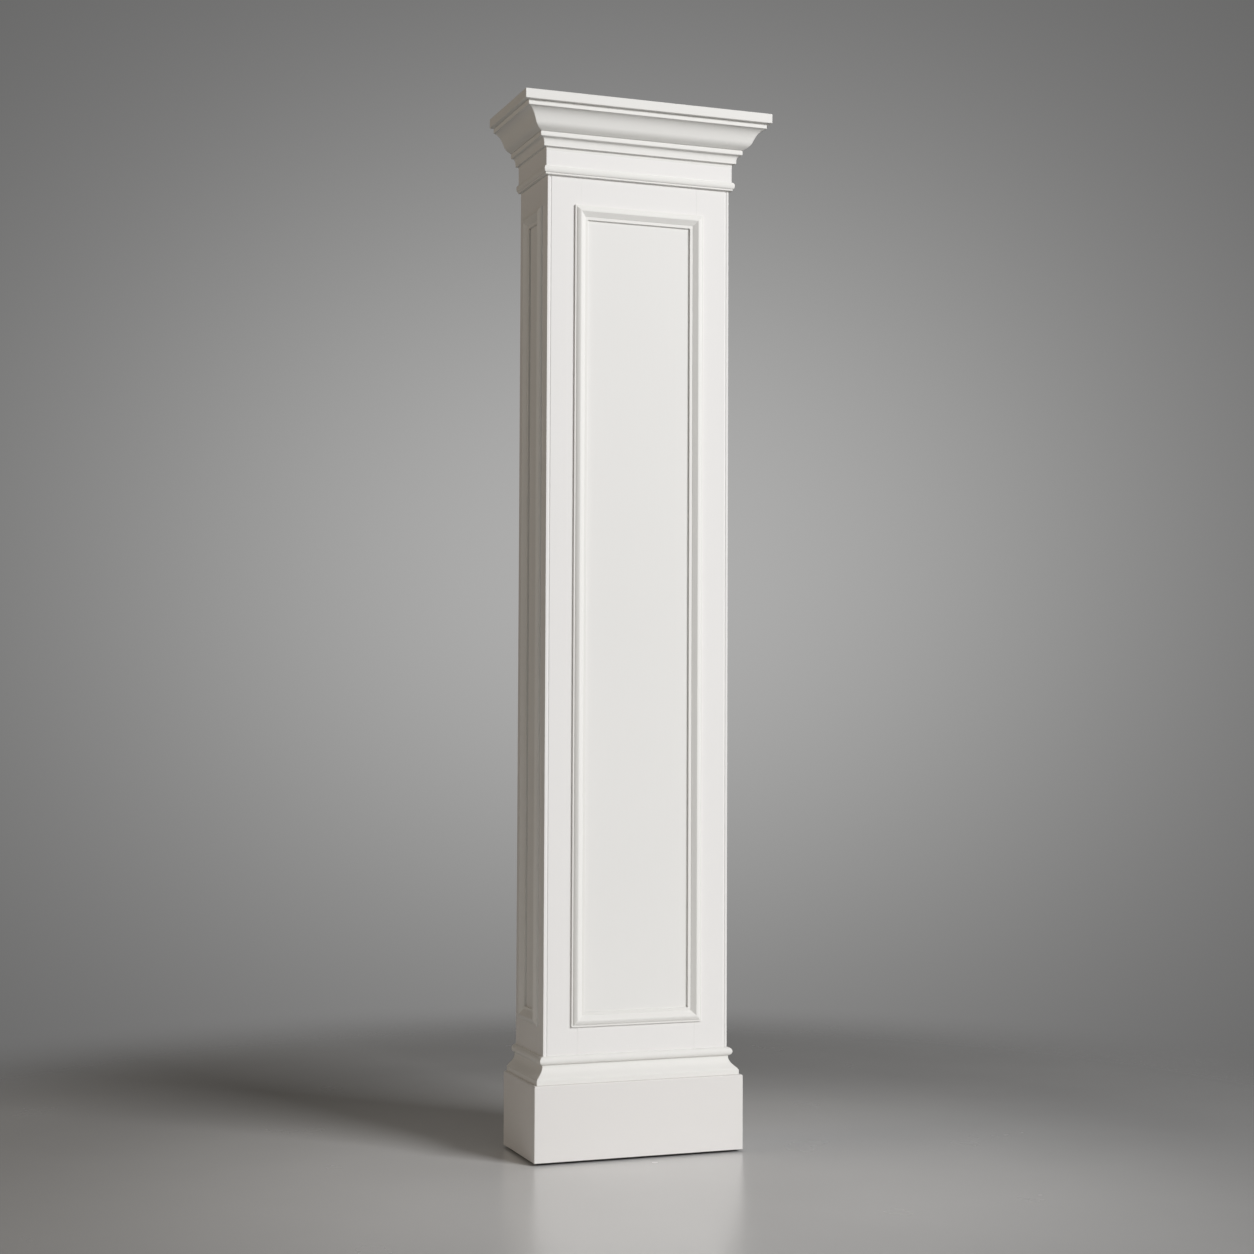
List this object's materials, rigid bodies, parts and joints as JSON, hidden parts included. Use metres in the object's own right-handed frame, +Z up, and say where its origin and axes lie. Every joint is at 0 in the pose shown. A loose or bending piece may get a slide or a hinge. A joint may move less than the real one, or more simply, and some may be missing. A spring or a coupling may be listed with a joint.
{
  "type": "panelled pilaster",
  "caption": "Painted wooden pilaster: a panelled shaft between a moulded plinth and a stepped crown capital, open at the back, to fix flat on a wall beside a doorway or hearth.",
  "frame": {"origin": "on the floor, at the middle of the overall width and depth", "axes": "+Z up; the front faces -Y and the open back, which goes against the wall, faces +Y; +X to the right as seen from the front"},
  "size_m": [0.526, 0.246, 2.1],
  "materials": {
    "frame_paint": "satin white paint",
    "moulding_paint": "satin white paint",
    "plinth_paint": "satin white paint"
  },
  "bodies": {
    "root": {"plinth_front": "plinth_paint", "plinth_left": "plinth_paint", "plinth_right": "plinth_paint", "base_mould_front": "moulding_paint", "base_mould_left": "moulding_paint", "base_mould_right": "moulding_paint", "front_frame_left_stile": "frame_paint", "front_frame_right_stile": "frame_paint", "front_frame_top_rail": "frame_paint", "front_frame_bottom_rail": "frame_paint", "front_panel": "frame_paint", "front_panel_mould_left": "moulding_paint", "front_panel_mould_right": "moulding_paint", "front_panel_mould_top": "moulding_paint", "front_panel_mould_bottom": "moulding_paint", "left_frame_back_stile": "frame_paint", "left_frame_front_stile": "frame_paint", "left_frame_top_rail": "frame_paint", "left_frame_bottom_rail": "frame_paint", "left_panel": "frame_paint", "left_panel_mould_back": "moulding_paint", "left_panel_mould_front": "moulding_paint", "left_panel_mould_top": "moulding_paint", "left_panel_mould_bottom": "moulding_paint", "right_frame_back_stile": "frame_paint", "right_frame_front_stile": "frame_paint", "right_frame_top_rail": "frame_paint", "right_frame_bottom_rail": "frame_paint", "right_panel": "frame_paint", "right_panel_mould_back": "moulding_paint", "right_panel_mould_front": "moulding_paint", "right_panel_mould_top": "moulding_paint", "right_panel_mould_bottom": "moulding_paint", "neck_astragal_front": "moulding_paint", "neck_astragal_left": "moulding_paint", "neck_astragal_right": "moulding_paint", "frieze_front": "frame_paint", "frieze_left": "frame_paint", "frieze_right": "frame_paint", "bed_mould_front": "moulding_paint", "bed_mould_left": "moulding_paint", "bed_mould_right": "moulding_paint", "crown_front": "moulding_paint", "crown_left": "moulding_paint", "crown_right": "moulding_paint", "cap_board": "moulding_paint"}
  },
  "joints": []
}
